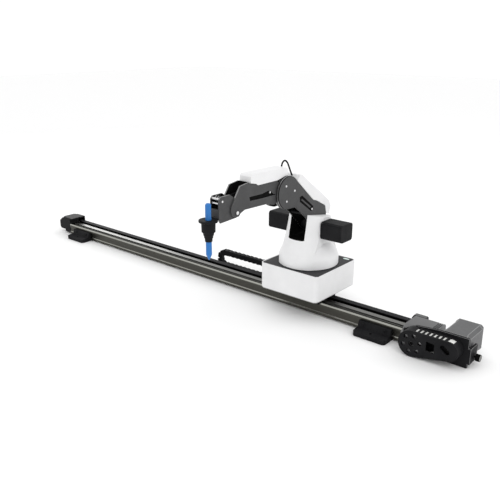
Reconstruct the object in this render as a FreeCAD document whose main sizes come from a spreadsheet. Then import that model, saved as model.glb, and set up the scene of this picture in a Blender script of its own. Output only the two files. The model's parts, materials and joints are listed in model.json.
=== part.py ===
"""Desktop parallel-link robot arm with a pen, standing on a belt-driven linear rail.

Frame: millimetres, +Z up, +X along the rail to the motor end, -Y the side that the arm reaches over.
The origin is the centre of the four foot holes, on the surface that the feet stand on.
"""
import FreeCAD, Part
import math
import os
import re

import Sketcher

SIZES = {
    # linear rail
    "rail_left": -612, "rail_right": 604, "rail_half": 31, "rail_bottom": 4, "rail_top": 35,
    "seat": 31, "guide_y": -12, "guide_half": 6.5, "guide_top": 37.5,
    "foot_pitch": 1080, "foot_length": 80, "foot_half": 66, "foot_hole_half": 54, "foot_hole_radius": 3.3,
    # belt drive
    "idler_x": -640, "drive_x": 644, "axis_z": 30, "pulley_radius": 6.7, "belt_gap": 0.3, "belt_thick": 1.4,
    "belt_front": 7, "belt_back": 22, "shaft_radius": 4,
    "motor_x": 722, "motor_z": 37.5, "motor_half": 28.5, "motor_front": -42, "motor_rear": 33,
    "plate_front": -47, "cover_front": -74, "cover_wall": 2.5, "large_radius": 21.7, "small_radius": 7.7,
    "reduction_front": -67, "reduction_back": -57, "screw_y": -22, "screw_z": 19,
    # cable chain
    "chain_front": 62, "chain_back": 76, "chain_low": 1, "chain_top": 54.3, "chain_height": 15,
    "chain_fixed": 170, "chain_end": 374, "tail_length": 12, "link_pitch": 15,
    # carriage and base
    "robot_x": 332, "carriage_half": 58, "carriage_low": 43.5, "base_half": 82.5, "base_bottom": 57,
    "base_top": 118, "base_wall": 3, "corner": 13, "hub_radius": 29.5,
    # turret
    "turret_bottom": 118.9, "turret_radius": 72, "fender_radius": 70.5, "cheek_half": 47, "slot_half": 22, "slot_floor": 183,
    "turret_top": 250, "box_end": 103, "box_front": -25, "box_back": 22, "box_low": 187, "box_high": 228,
    # arm
    "shoulder_z": 210, "lean": 49.1, "dip": 4.4, "upper_length": 150, "fore_length": 160,
    "upper_inner": 18, "upper_outer": 21, "fore_inner": 12.5, "fore_outer": 15.5, "bracket_outer": 12,
    "disc_radius": 36.3, "disc_thick": 2.5, "joint_radius": 5, "axle_radius": 3.5, "pin_radius": 2.5,
    "running_gap": 0.08, "open_gap": 0.4, "rod_half": 3.4, "eye_radius": 5.4,
    "rear_offset_y": 18.4, "rear_offset_z": 18.4, "top_offset_y": -10.3, "top_offset_z": 28.2,
    "crank_radius": 32, "crank_turn": 10,
    # pen
    "pen_y": -65, "pen_radius": 5.9, "pen_top": 29.7, "pen_tip": -84.4, "cable_radius": 1.5,
}

doc = FreeCAD.newDocument("rail_robot")
sheet = doc.addObject("Spreadsheet::Sheet", "Sizes")
for row, (alias, number) in enumerate(SIZES.items(), start=1):
    sheet.set(f"A{row}", alias)
    sheet.set(f"B{row}", str(number))
    sheet.setAlias(f"B{row}", alias)
doc.recompute()

SUBPARTS = []


# ---- expressions -------------------------------------------------------------------------------

def linked(expression):
    """The expression with each alias written as a reference to the sheet."""
    def reference(word):
        return "Sizes." + word.group() if word.group() in SIZES else word.group()
    return re.sub(r"[a-z_]+", reference, str(expression))


def value(expression):
    """The number that an expression of aliases gives."""
    return float(sheet.evalExpression(str(expression)))


def bind(item, name, expression):
    """Ties a property, or a sketch's constraint, to the sheet."""
    item.setExpression(name, linked(expression))


# ---- sketch outlines: each returns a function that draws on a sketch -----------------------------

def fix(profile, kind, references, expression):
    """One dimension of a sketch, bound to the sheet."""
    index = profile.addConstraint(Sketcher.Constraint(kind, *references, value(expression)))
    bind(profile, f"Constraints[{index}]", expression)


def polygon(points):
    """A closed outline of straight sides through (across, up) points."""
    def draw(profile):
        corners = [FreeCAD.Vector(value(across), value(up), 0) for across, up in points]
        first = profile.GeometryCount
        count = len(corners)
        for side in range(count):
            profile.addGeometry(Part.LineSegment(corners[side], corners[(side + 1) % count]), False)
        for side in range(count):
            joined = (first + side, 2, first + (side + 1) % count, 1)
            profile.addConstraint(Sketcher.Constraint("Coincident", *joined))
        for side, (across, up) in enumerate(points):
            fix(profile, "DistanceX", (-1, 1, first + side, 1), across)
            fix(profile, "DistanceY", (-1, 1, first + side, 1), up)
    return draw


def rectangle(left, right, low, high):
    """A closed outline square to the sketch's axes."""
    return polygon([(left, low), (right, low), (right, high), (left, high)])


def circle(across, up, radius):
    """A round outline."""
    def draw(profile):
        centre = FreeCAD.Vector(value(across), value(up), 0)
        geometry = profile.addGeometry(
            Part.Circle(centre, FreeCAD.Vector(0, 0, 1), value(radius)), False)
        fix(profile, "DistanceX", (-1, 1, geometry, 3), across)
        fix(profile, "DistanceY", (-1, 1, geometry, 3), up)
        fix(profile, "Radius", (geometry,), radius)
    return draw


def octagon(across, up, half, cut):
    """A square outline about a centre, with its corners cut."""
    reach = f"({half} - {cut})"
    corners = [(half, f"0 - {reach}"), (half, reach), (reach, half), (f"0 - {reach}", half),
               (f"0 - {half}", reach), (f"0 - {half}", f"0 - {reach}"),
               (f"0 - {reach}", f"0 - {half}"), (reach, f"0 - {half}")]
    return polygon([(f"{across} + {x}", f"{up} + {y}") for x, y in corners])


def loop(left, right):
    """The outline of a band pulled round two circles, each (across, up, radius), left one first."""
    def draw(profile):
        (x0, y0, r0), (x1, y1, r1) = [[value(item) for item in end] for end in (left, right)]
        heading = math.atan2(y1 - y0, x1 - x0)
        spread = math.acos((r0 - r1) / math.hypot(x1 - x0, y1 - y0))
        high, low = heading + spread, heading - spread
        normal = FreeCAD.Vector(0, 0, 1)

        def rim(x, y, radius, angle):
            return FreeCAD.Vector(x + radius * math.cos(angle), y + radius * math.sin(angle), 0)
        first = profile.GeometryCount
        around_left = Part.Circle(FreeCAD.Vector(x0, y0, 0), normal, r0)
        around_right = Part.Circle(FreeCAD.Vector(x1, y1, 0), normal, r1)
        profile.addGeometry(Part.ArcOfCircle(around_left, high, low + 2 * math.pi), False)
        profile.addGeometry(Part.LineSegment(rim(x0, y0, r0, low), rim(x1, y1, r1, low)), False)
        profile.addGeometry(Part.ArcOfCircle(around_right, low, high), False)
        profile.addGeometry(Part.LineSegment(rim(x1, y1, r1, high), rim(x0, y0, r0, high)), False)
        for step in range(4):
            joined = (first + step, 2, first + (step + 1) % 4, 1)
            profile.addConstraint(Sketcher.Constraint("Tangent", *joined))
        for geometry, (across, up, radius) in ((first, left), (first + 2, right)):
            fix(profile, "DistanceX", (-1, 1, geometry, 3), across)
            fix(profile, "DistanceY", (-1, 1, geometry, 3), up)
            fix(profile, "Radius", (geometry,), radius)
    return draw


# ---- features -----------------------------------------------------------------------------------

def new_part(label, x=0, y=0, z=0, turn=0):
    """A new sub-part. Its own frame is moved to x, y, z and turned about X, as expressions."""
    owner = doc.addObject("PartDesign::Body", label)
    owner.Label = label
    owner.AllowCompound = True
    bind(owner, "Placement", f"placement(vector({x}; {y}; {z}); rotation(vector(1; 0; 0); {turn}))")
    SUBPARTS.append(owner)
    return owner


def new_profile(owner, plane, start, outlines):
    """A sketch on one of the part's own origin planes, moved by start along the plane's normal."""
    profile = owner.newObject("Sketcher::SketchObject", "Profile")
    support = next(item for item in owner.Origin.OriginFeatures if item.Role == plane + "_Plane")
    profile.AttachmentSupport = [(support, "")]
    profile.MapMode = "FlatFace"
    bind(profile, "AttachmentOffset.Base.z", start)
    for draw in outlines:
        draw(profile)
    return profile


def pad(owner, plane, start, length, *outlines):
    """Adds the outlines, extruded along the plane's normal: XY faces +Z, YZ faces +X, XZ faces -Y."""
    profile = new_profile(owner, plane, start, outlines)
    feature = owner.newObject("PartDesign::Pad", "Pad")
    feature.Profile = profile
    bind(feature, "Length", length)
    return feature


def pocket(owner, plane, start, length, *outlines):
    """Removes the outlines, extruded along the plane's normal."""
    profile = new_profile(owner, plane, start, outlines)
    doc.recompute()
    before = owner.Shape.Volume
    feature = owner.newObject("PartDesign::Pocket", "Pocket")
    feature.Profile = profile
    feature.Reversed = True
    bind(feature, "Length", length)
    doc.recompute()
    if owner.Shape.Volume > before - 1e-3:
        raise RuntimeError(f"a pocket of {owner.Label} removes nothing")
    return feature


def turned(owner, points):
    """Adds a solid of revolution about Z, from (radius, up) points."""
    profile = new_profile(owner, "XZ", 0, [polygon(points)])
    feature = owner.newObject("PartDesign::Revolution", "Revolution")
    feature.Profile = profile
    feature.ReferenceAxis = (profile, ["V_Axis"])
    feature.Angle = 360
    return feature


def edges_along(shape, axis, chosen):
    """Names of the straight edges along an axis whose middle point passes the test."""
    names = []
    for index, edge in enumerate(shape.Edges, start=1):
        if not isinstance(edge.Curve, Part.Line):
            continue
        middle = edge.valueAt((edge.FirstParameter + edge.LastParameter) / 2)
        if abs(abs(edge.Curve.Direction.dot(axis)) - 1) < 1e-6 and chosen(middle):
            names.append(f"Edge{index}")
    return names


AXES = {"X": FreeCAD.Vector(1, 0, 0), "Y": FreeCAD.Vector(0, 1, 0), "Z": FreeCAD.Vector(0, 0, 1)}


def soften(owner, kind, size, axis, chosen=lambda middle: True):
    """Fillets or chamfers the straight edges along an axis that pass the test."""
    doc.recompute()
    tip = owner.Tip
    names = edges_along(tip.Shape, AXES[axis], chosen)
    if not names:
        raise RuntimeError(f"no edge of {owner.Label} to soften")
    feature = owner.newObject("PartDesign::" + kind, kind)
    feature.Base = (tip, names)
    bind(feature, "Radius" if kind == "Fillet" else "Size", size)
    doc.recompute()
    return feature


def repeated(owner, feature, along, length, count):
    """Repeats a feature in a straight row along its own sketch's axis."""
    row = owner.newObject("PartDesign::LinearPattern", "LinearPattern")
    row.Originals = [feature]
    row.Direction = (feature.Profile[0], [along])
    bind(row, "Length", length)
    row.Occurrences = count
    owner.Tip = row
    doc.recompute()
    return row


# ---- linear rail --------------------------------------------------------------------------------

def make_rail_extrusion():
    """Aluminium profile: a belt channel, a guide seat and a shallow channel on top, hollow inside."""
    part = new_part("rail_extrusion")
    flank = [("rail_half", "rail_bottom"), ("rail_half", 9.5), ("rail_half - 2", 11),
             ("rail_half - 2", 21), ("rail_half", 26), ("rail_half", "rail_top - 3.5"),
             ("rail_half - 2", "rail_top")]
    rear = flank + [(27.5, "rail_top"), (27.5, 14), (2, 14), (2, 34), (-3.5, 34), (-3.5, "seat")]
    front = [(-20.5, "seat"), (-20.5, 28), (-27.5, 28), (-27.5, "rail_top")]
    front += [(f"0 - ({across})", up) for across, up in reversed(flank)]
    groove = [(-7, "rail_bottom"), (-7, 6.5), (7, 6.5), (7, "rail_bottom")]
    tunnels = rectangle(-26, -0.5, 9.5, 25), rectangle(4, 26, 7, 11)
    pad(part, "YZ", "rail_left", "rail_right - rail_left", polygon(rear + front + groove), *tunnels)


def make_guide_rail():
    """Ground steel rail with a ball groove on each side."""
    part = new_part("guide_rail")
    side = [("guide_half", "seat"), ("guide_half", 32.6), ("guide_half - 1.2", 33.6),
            ("guide_half", 34.6), ("guide_half", "guide_top")]
    right = [(f"guide_y + {across}", up) for across, up in side]
    left = [(f"guide_y - ({across})", up) for across, up in reversed(side)]
    pad(part, "YZ", "rail_left + 8", "rail_right - rail_left - 12", polygon(right + left))


def make_drive_belt():
    """Toothed belt, one closed loop over the idler and the drive pulley."""
    part = new_part("drive_belt")
    inner, outer = "pulley_radius + belt_gap", "pulley_radius + belt_gap + belt_thick"
    pad(part, "XZ", "0 - belt_back", "belt_back - belt_front",
        loop(("idler_x", "axis_z", outer), ("drive_x", "axis_z", outer)),
        loop(("idler_x", "axis_z", inner), ("drive_x", "axis_z", inner)))


def belt_pulley(part, centre, radius, front, back, *bore):
    """A pulley between two flanges, round a belt that lies from front to back."""
    pad(part, "XZ", f"0 - {back} - 0.4", f"{back} - {front} + 0.8", circle(*centre, radius), *bore)
    for start in (f"0 - {back} - 1.2", f"0 - {front} + 0.4"):
        pad(part, "XZ", start, 0.8, circle(*centre, f"{radius} + 2.3"), *bore)


def make_idler_end():
    """End block with the idler pulley's axle, the plate over it and the pulley itself."""
    centre = "idler_x", "axis_z"
    block = new_part("idler_block")
    pad(block, "XZ", -30, 60, polygon([(-670, 18), (-664, 12), (-642, 12), (-642, 5), ("rail_left", 5),
                                       ("rail_left", 50), (-654, 50), (-670, 38)]))
    pocket(block, "XZ", -28, 24, rectangle(-656, "rail_left", 14, 46))
    pad(block, "XZ", -28.1, 24.2, circle(*centre, "pin_radius"))
    plate = new_part("idler_top_plate")
    pad(plate, "XY", 50, 4, polygon([(-652, -24), (-645, -31), (-601, -31), (-601, 20), (-645, 20),
                                     (-652, 13)]))
    soften(plate, "Chamfer", 1.5, "X", lambda middle: middle.z > 53)
    pulley = new_part("idler_pulley")
    belt_pulley(pulley, centre, "pulley_radius", "belt_front", "belt_back",
                circle(*centre, "pin_radius + running_gap"))


def make_feet():
    """Two identical saddle feet under the rail, each with an upright cheek against both flanks."""
    feet = new_part("rail_feet")
    half = [("foot_half", 0), ("foot_half", 10), (42, 13), (38, 26), ("rail_half", 26),
            ("rail_half", "rail_bottom")]
    mirrored = [(f"0 - ({across})", up) for across, up in reversed(half)]
    for side in (-1, 1):
        pad(feet, "YZ", f"{side} * foot_pitch / 2 - foot_length / 2", "foot_length",
            polygon(half + mirrored))
    soften(feet, "Chamfer", 5, "Z", lambda middle: abs(middle.y) > 60)
    holes = [circle(f"{side} * foot_pitch / 2", f"{end} * foot_hole_half", "foot_hole_radius")
             for side in (-1, 1) for end in (-1, 1)]
    pocket(feet, "XY", -1, 30, *holes)
    screws = new_part("foot_screws")
    heads = [(f"{side} * foot_pitch / 2 + {shift}", 20) for side in (-1, 1) for shift in (-26, 26)]
    for start, seat in ((-41.3, -46), (38.7, 38.7)):
        pocket(feet, "XZ", seat, 7.3, *[circle(*place, 3.9) for place in heads])
        pad(screws, "XZ", start, 2.6, *[circle(*place, 3.6) for place in heads])


def make_drive_end():
    """Aluminium pulley housing, drive shaft with its belt pulley, and the large reduction pulley."""
    centre = "drive_x", "axis_z"
    block = new_part("drive_block")
    pad(block, "YZ", "rail_right", "672 - rail_right", polygon([
        (-42, 4), (-42, 33), (-38, 37), (-22, 46), (26, 46), (31, 41), (31, 4)]))
    pocket(block, "XZ", -29, 25, rectangle("rail_right", 657, 14, 42.5))
    pocket(block, "XZ", -32, 75, circle(*centre, "shaft_radius + running_gap"))
    for edge in (659, 663, 667):
        pocket(block, "XY", 40, 7, rectangle(edge, edge + 2, -43, 32))
    shaft = new_part("drive_shaft")
    pad(shaft, "XZ", -30.5, 101, circle(*centre, "shaft_radius"))
    belt_pulley(shaft, centre, "pulley_radius", "belt_front", "belt_back")
    large = new_part("large_pulley")
    bore = circle(*centre, "shaft_radius")
    belt_pulley(large, centre, "large_radius", "reduction_front", "reduction_back", bore)
    pad(large, "XZ", "0 - reduction_back - 6", 6, circle(*centre, 9), bore)


def make_rail_motor():
    """Stepper motor on its folded plate, the small pulley on its shaft and the reduction belt."""
    centre = "motor_x", "motor_z"
    plate = new_part("motor_plate")
    pad(plate, "XZ", "0 - motor_front", "motor_front - plate_front", polygon([
        (612, 1), (753, 1), (753, 65), (690, 65), (640, 60), (612, 46)]))
    pad(plate, "YZ", 753, 5, rectangle("plate_front", -12, 10, 44))
    pocket(plate, "XZ", "0 - motor_front - 1", 12, circle("drive_x", "axis_z", 10), circle(*centre, 12))
    pocket(plate, "YZ", 752, 8, circle("screw_y", "screw_z", "pin_radius + running_gap"))
    motor = new_part("rail_motor")
    cap = 8
    pad(motor, "XZ", f"{cap} - motor_rear", f"motor_rear - motor_front - 2 * {cap}",
        octagon(*centre, "motor_half", 7))
    for start in ("0 - motor_rear", f"0 - motor_front - {cap}"):
        pad(motor, "XZ", start, cap, octagon(*centre, "motor_half", 5))
    pocket(motor, "XZ", "0 - motor_front - 5", 10, circle(*centre, 4))
    pulley = new_part("motor_pulley")
    pad(pulley, "XZ", "0 - motor_front - 4", 32, circle(*centre, 3.2))
    belt_pulley(pulley, centre, "small_radius", "reduction_front", "reduction_back")
    belt = new_part("reduction_belt")
    rings = [[(*place, f"{radius} + belt_gap + {thick}") for place, radius in (
        (("drive_x", "axis_z"), "large_radius"), (centre, "small_radius"))]
        for thick in ("belt_thick", 0)]
    pad(belt, "XZ", "0 - reduction_back", "reduction_back - reduction_front",
        loop(*rings[0]), loop(*rings[1]))
    screw = new_part("tension_screw")
    pad(screw, "YZ", 752.3, 9, circle("screw_y", "screw_z", "pin_radius"))
    pad(screw, "YZ", 761, 9, circle("screw_y", "screw_z", 7.5))
    grips = [circle(f"screw_y + 8.2 * cos({turn})", f"screw_z + 8.2 * sin({turn})", 1.3)
             for turn in range(0, 360, 45)]
    pocket(screw, "YZ", 760, 11, *grips)


def make_belt_cover():
    """Drop-shaped moulded cover over the reduction belt, with round and square windows."""
    cover = new_part("belt_cover")
    big, small = ("drive_x", 30, 29), ("motor_x", 38, 21)
    pad(cover, "XZ", "0 - plate_front", "plate_front - cover_front", loop(big, small))
    shrink = [(x, z, f"{radius} - cover_wall") for x, z, radius in (big, small)]
    pocket(cover, "XZ", "0 - plate_front - 1", "plate_front - cover_front - cover_wall + 1",
           loop(*shrink))
    front = "0 - cover_front - 4"
    ring = [circle(f"drive_x + 18.5 * cos({turn})", f"30 + 18.5 * sin({turn})", 4.3)
            for turn in range(15, 375, 60)]
    pocket(cover, "XZ", front, 6, circle("drive_x", 30, 5.5), *ring)
    pocket(cover, "XZ", front, 6, polygon([(676, 26), (694, 24), (694, 44), (676, 46)]))
    pocket(cover, "XZ", front, 6, loop((711, 43, 5.5), (721, 36, 5.5)))
    window = rectangle(648, 654, "cover_front + 4", "plate_front - 5")
    for start, height in ((48, 20), (-2, 20)):
        repeated(cover, pocket(cover, "XY", start, height, window), "H_Axis", 58.2, 7)
    pocket(cover, "XY", 48, 20, rectangle(717.5, 731, "cover_front + 4", "plate_front - 5"))


def make_end_switch():
    """Limit switch with its lever, on the back of the pulley housing."""
    switch = new_part("end_switch")
    pad(switch, "XZ", -45, 14, rectangle(596, 626, 28, 42))
    pad(switch, "XZ", -44, 12, rectangle(597, 625, 42, 44))
    pad(switch, "XZ", -41, 6, polygon([(590, 33), (596, 30), (596, 41), (594.6, 41)]))


# ---- cable chain --------------------------------------------------------------------------------

def make_cable_chain():
    """Folded steel tray, the run lying in it, the bend, its first link and the run to the carriage."""
    tray = new_part("chain_tray")
    pad(tray, "YZ", -470, "chain_fixed + 500", polygon([
        ("rail_half", 0.2), (78, 0.2), (78, 8), (77, 8), (77, 1), (32, 1), (32, 20), ("rail_half", 20)]))
    width = "(chain_back - chain_front)"
    runs = {"chain_lower_run": ("chain_low", 0, "chain_fixed"),
            "chain_upper_run": ("chain_top - chain_height", "tail_length + 0.3", "chain_end")}
    for label, (low, start, end) in runs.items():
        run = new_part(label)
        pad(run, "YZ", start, f"{end} - ({start})",
            rectangle("chain_front", "chain_back", low, f"{low} + chain_height"))
        count = int(value(f"({end}) / link_pitch")) - 2
        gap = rectangle("2 * link_pitch - 1", "2 * link_pitch + 1",
                        f"{low} + chain_height - 1.6", f"{low} + chain_height + 1")
        cut = pocket(run, "XZ", "0 - chain_back - 1", f"{width} + 2", gap)
        repeated(run, cut, "H_Axis", f"{count - 1} * link_pitch", count)
    tail = new_part("chain_tail_link")
    pad(tail, "YZ", 0.3, "tail_length - 0.3", rectangle(
        "chain_front", "chain_back", "chain_top - chain_height", "chain_top"))
    bend = new_part("chain_bend")
    centre, radius = "(chain_low + chain_top) / 2", "(chain_top - chain_low) / 2"
    pad(bend, "XZ", "0 - chain_back", width, circle(0, centre, radius),
        circle(0, centre, f"{radius} - chain_height"))
    pocket(bend, "XZ", "0 - chain_back - 1", f"{width} + 2", rectangle(0, 40, -1, 60))


# ---- carriage and base --------------------------------------------------------------------------

def make_carriage():
    """Carriage plate with side cheeks, guide blocks on the steel rail, belt clamp, chain bracket."""
    plate = new_part("carriage_plate", "robot_x")
    pad(plate, "XY", "carriage_low", "base_bottom - 2.2 - carriage_low",
        rectangle("0 - carriage_half", "carriage_half", -36, 36))
    for low in (-36, 33):
        pad(plate, "XY", "seat", "carriage_low - seat",
            rectangle("0 - carriage_half", "carriage_half", low, low + 3))
    soften(plate, "Chamfer", 2.5, "Z", lambda middle: abs(middle.x) > 50 and abs(middle.y) > 35)
    blocks = new_part("guide_blocks", "robot_x")
    clear, reach = "guide_half + 0.3", 12
    for start in (-54, 20):
        pad(blocks, "YZ", start, 34, polygon([
            (f"guide_y + {clear}", 35.6), (f"guide_y + {reach}", 35.6),
            (f"guide_y + {reach}", "carriage_low"), (f"guide_y - {reach}", "carriage_low"),
            (f"guide_y - {reach}", 35.6), (f"guide_y - ({clear})", 35.6),
            (f"guide_y - ({clear})", "guide_top + 0.3"), (f"guide_y + {clear}", "guide_top + 0.3")]))
    clamp = new_part("belt_clamp", "robot_x")
    upper, lower = "axis_z + pulley_radius + belt_gap + belt_thick + 0.4", "axis_z + pulley_radius"
    edge = "belt_back + 0.4"
    pad(clamp, "YZ", -10, 20, polygon([
        (6.5, "carriage_low"), (6.5, upper), (edge, upper), (edge, lower), (6.5, lower), (6.5, 35.2),
        (23.8, 35.2), (23.8, "carriage_low")]))
    bracket = new_part("chain_bracket", "robot_x")
    end = "chain_end - robot_x"
    pad(bracket, "XY", 49, 5.5, polygon([(10, 36), (f"{end} + 11", 36), (f"{end} + 11", 78), (end, 78),
                                         (end, 61), (10, 61)]))
    pad(bracket, "XY", 39.3, 9.7, rectangle(end, f"{end} + 10", "chain_front", "chain_back"))


def make_base():
    """Square base housing, its plates, light, connector panel, button, motor and slewing bearing."""
    floor = new_part("base_bottom_plate", "robot_x")
    pad(floor, "XY", "base_bottom - 2.2", 2.2, rectangle(-81.5, 81.5, -81.5, 81.5))
    soften(floor, "Fillet", "corner - 1", "Z")
    shell = new_part("base_shell", "robot_x")
    pad(shell, "XY", "base_bottom", "base_top - base_bottom",
        rectangle("0 - base_half", "base_half", "0 - base_half", "base_half"))
    soften(shell, "Fillet", "corner", "Z")
    inner = "(base_half - base_wall)"
    pocket(shell, "XY", "base_bottom - 1", "base_top - base_bottom + 2", octagon(0, 0, inner, 5))
    pocket(shell, "XZ", "0 - base_half - 1", 6, rectangle(-46, 36, 66, 88), circle(60, 74, 6.3))
    top = new_part("base_top_plate", "robot_x")
    lid = "(base_half - base_wall - 0.2)"
    pad(top, "XY", "base_top - 3", 2.4, rectangle(f"0 - {lid}", lid, f"0 - {lid}", lid),
        circle(0, 0, "hub_radius + 0.8"))
    soften(top, "Fillet", 9, "Z")
    light = new_part("status_light", "robot_x")
    pad(light, "XY", "base_top - 0.6", 0.8, loop((57.5, 69, 3.5), (66.5, 69, 3.5)))
    panel = new_part("port_panel", "robot_x")
    pad(panel, "XZ", "0 - base_half + 0.2", 2.6, rectangle(-45.8, 35.8, 66.2, 87.8))
    sockets = [rectangle(edge, edge + 15, 70, 77) for edge in (-40, -20, 0)]
    pocket(panel, "XZ", "0 - base_half - 1", 3, rectangle(-38, -26, 79.5, 86), circle(26, 80, 4),
           *sockets)
    button = new_part("power_button", "robot_x")
    pad(button, "XZ", "0 - base_half - 2", 8, circle(60, 74, 6))
    motor = new_part("yaw_motor", "robot_x")
    pad(motor, "XY", "base_bottom", 35, octagon(0, 0, 21, 4))
    pad(motor, "XY", "base_bottom + 35", 8, circle(0, 0, 18))
    bearing = new_part("slew_bearing", "robot_x")
    pad(bearing, "XY", "base_top - 14", 11, circle(0, 0, 44),
        circle(0, 0, "hub_radius + running_gap"))


# ---- turret -------------------------------------------------------------------------------------

def make_turret():
    """Domed white shell with a cheek each side of the arm, on a turntable."""
    shell = new_part("turret_shell", "robot_x")
    turned(shell, [(0, "turret_bottom"), ("turret_radius", "turret_bottom"), ("turret_radius", 130),
                   (66, 148), (60, 168), (56, 184), (50.5, 215), (47, 240), (46, "turret_top"),
                   (0, "turret_top")])
    pocket(shell, "YZ", -80, 160, polygon([(-80, 250.4), (80, 220), (80, 260), (-80, 260)]))
    sides = [rectangle("cheek_half", 80, -80, 80), rectangle(-80, "0 - cheek_half", -80, 80)]
    pocket(shell, "XY", "turret_bottom - 1", 152, *sides)
    turned(shell, [(0, "turret_bottom"), ("fender_radius", "turret_bottom"), ("fender_radius", 137),
                   (67, 147), (61, 157), (54, 166), (47, 172), (0, 172)])
    pocket(shell, "XY", "turret_bottom - 1", 25, circle(0, 0, 64.5))
    pocket(shell, "XY", 142, "slot_floor - 5 - 142", rectangle(-42, 42, -34, 34))
    pocket(shell, "XY", "slot_floor", 80, rectangle("0 - slot_half", "slot_half", -80, 80))
    soften(shell, "Fillet", 5, "Y", lambda middle: abs(abs(middle.x) - 22) < 0.1 and middle.z < 184)
    cheeks = [rectangle(low, low + 17, -16, 16) for low in (25.5, -42.5)]
    pocket(shell, "XY", "slot_floor - 6", 55, *cheeks)
    pocket(shell, "YZ", -60, 120, circle(0, "shoulder_z", 8))
    for start in (-60, 42):
        pocket(shell, "YZ", start, 18, circle(0, "shoulder_z", 15.3))
    table = new_part("turntable", "robot_x")
    pad(table, "XY", "turret_bottom", 3.1, circle(0, 0, 64))
    pad(table, "XY", 102, "turret_bottom - 102", circle(0, 0, "hub_radius"))
    anchor = new_part("levelling_anchor", "robot_x")
    pad(anchor, "YZ", 0.5, 3.3, polygon([(8, "slot_floor"), (31, "slot_floor"), (24, 232), (13, 232)]))
    pad(anchor, "YZ", 3.7, 5.1, circle("rear_offset_y", "shoulder_z + rear_offset_z", "pin_radius"))
    rings = new_part("shoulder_bearings", "robot_x")
    for start in ("slot_half + 0.2", "0 - slot_half - 3.7"):
        pad(rings, "YZ", start, 3.5, circle(0, "shoulder_z", 8),
            circle(0, "shoulder_z", "joint_radius + running_gap"))


def make_shoulder_motors():
    """A geared motor in each cheek, its body in a black rounded cover outside it."""
    motors = new_part("shoulder_motors", "robot_x")
    for start in (48, -96):
        pad(motors, "YZ", start, 48, octagon(-1.5, "(box_low + box_high) / 2", 18, 4))
    for start in (31, -48):
        pad(motors, "YZ", start, 17, circle(0, "shoulder_z", 15))
    for start in (30, -37):
        pocket(motors, "YZ", start, 7, circle(0, "shoulder_z", "joint_radius + running_gap"))
    covers = new_part("motor_covers", "robot_x")
    outline = rectangle("box_front", "box_back", "box_low", "box_high")
    for start in ("cheek_half + 0.3", "0 - box_end"):
        pad(covers, "YZ", start, "box_end - cheek_half - 0.3", outline)
    soften(covers, "Fillet", 7, "X")
    hollow = rectangle("box_front + 2", "box_back - 2", "box_low + 2", "box_high - 2")
    for start in ("cheek_half - 1", "2 - box_end"):
        pocket(covers, "YZ", start, "box_end - cheek_half - 1", hollow)


# ---- upper arm: its own frame has Z along the arm and Y to the rear ------------------------------

def new_upper_part(label):
    """A sub-part of the upper arm."""
    return new_part(label, "robot_x", 0, "shoulder_z", "lean")


def make_upper_arm():
    """Two side plates, their elbow discs and screws, pins, and the rear cover."""
    plates = new_upper_part("upper_arm_plates")
    outline = polygon([(36, 148), (36, 54), (41.6, 43), (50.8, 3), (39.7, -13.5), (20, -20), (-10, -18),
                       (-14, 0), (-9, 60), (-10.5, 104), (-30, 130)])
    thick = "upper_outer - upper_inner"
    for start in ("upper_inner", "0 - upper_outer"):
        pad(plates, "YZ", start, thick, outline)
        pad(plates, "YZ", start, thick, circle(0, "upper_length", "disc_radius"))
    pocket(plates, "YZ", -30, 60, circle(0, "upper_length", "axle_radius"),
           circle(0, 0, "joint_radius + running_gap"))
    slot = polygon([(14.1, 106), (21.5, 100.6), (25.6, 47.2), (21.5, 40.4), (12.7, 45.6), (7, 98.2)])
    bar = polygon([(11.8, 97), (16, 96), (20.6, 54), (16, 53)])
    for start in ("upper_outer - 1.5", "0 - upper_outer - 1"):
        pocket(plates, "YZ", start, 2.5, slot, bar)
    discs = new_upper_part("elbow_discs")
    for start in ("upper_outer", "0 - upper_outer - disc_thick"):
        pad(discs, "YZ", start, "disc_thick", circle(0, "upper_length", "disc_radius - 0.4"))
    screws = new_upper_part("elbow_screws")
    spots = [circle(f"19.5 * cos({turn})", f"upper_length + 19.5 * sin({turn})", 2.3)
             for turn in (75, -45, -165)]
    for start in ("upper_outer + disc_thick", "0 - upper_outer - disc_thick - 1"):
        pad(screws, "YZ", start, 1, *spots)
    for start in ("upper_outer - 1.5", "0 - upper_outer - 0.7"):
        pad(screws, "YZ", start, 2.2, circle(18.5, 45.7, 2.3))
    pins = new_upper_part("upper_arm_pins")
    pad(pins, "YZ", "0 - upper_inner", "2 * upper_inner", circle(-3, 60, 3.5), circle(42, 0, 3))
    pad(pins, "YZ", "0 - upper_outer", "2 * upper_outer", circle(0, "upper_length", "axle_radius"))
    pad(pins, "YZ", "upper_inner - 4", 22, circle(0, 0, "joint_radius"))
    pad(pins, "YZ", "upper_inner - 4", 4, circle(0, 0, 11))
    cover = new_upper_part("upper_arm_cover")
    pad(cover, "YZ", "0 - upper_outer", "2 * upper_outer", polygon([
        (36.5, 138), (52, 138), (57, 133), (60, 91), (65.7, 41.5), (69, -1.5), (63, -18), (46.3, -24.4),
        (40.5, -13), (51.5, 4), (42.5, 43), (37, 54)]))
    soften(cover, "Fillet", 3, "X", lambda middle: middle.y > 55)
    pocket(cover, "YZ", "2.5 - upper_outer", "2 * upper_outer - 5", polygon([
        (30, 135.5), (51, 135.5), (54.5, 132), (57.5, 91), (63.2, 41.5), (66.3, -0.5), (61, -15.5),
        (48, -20.5), (30, 10)]))


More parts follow.
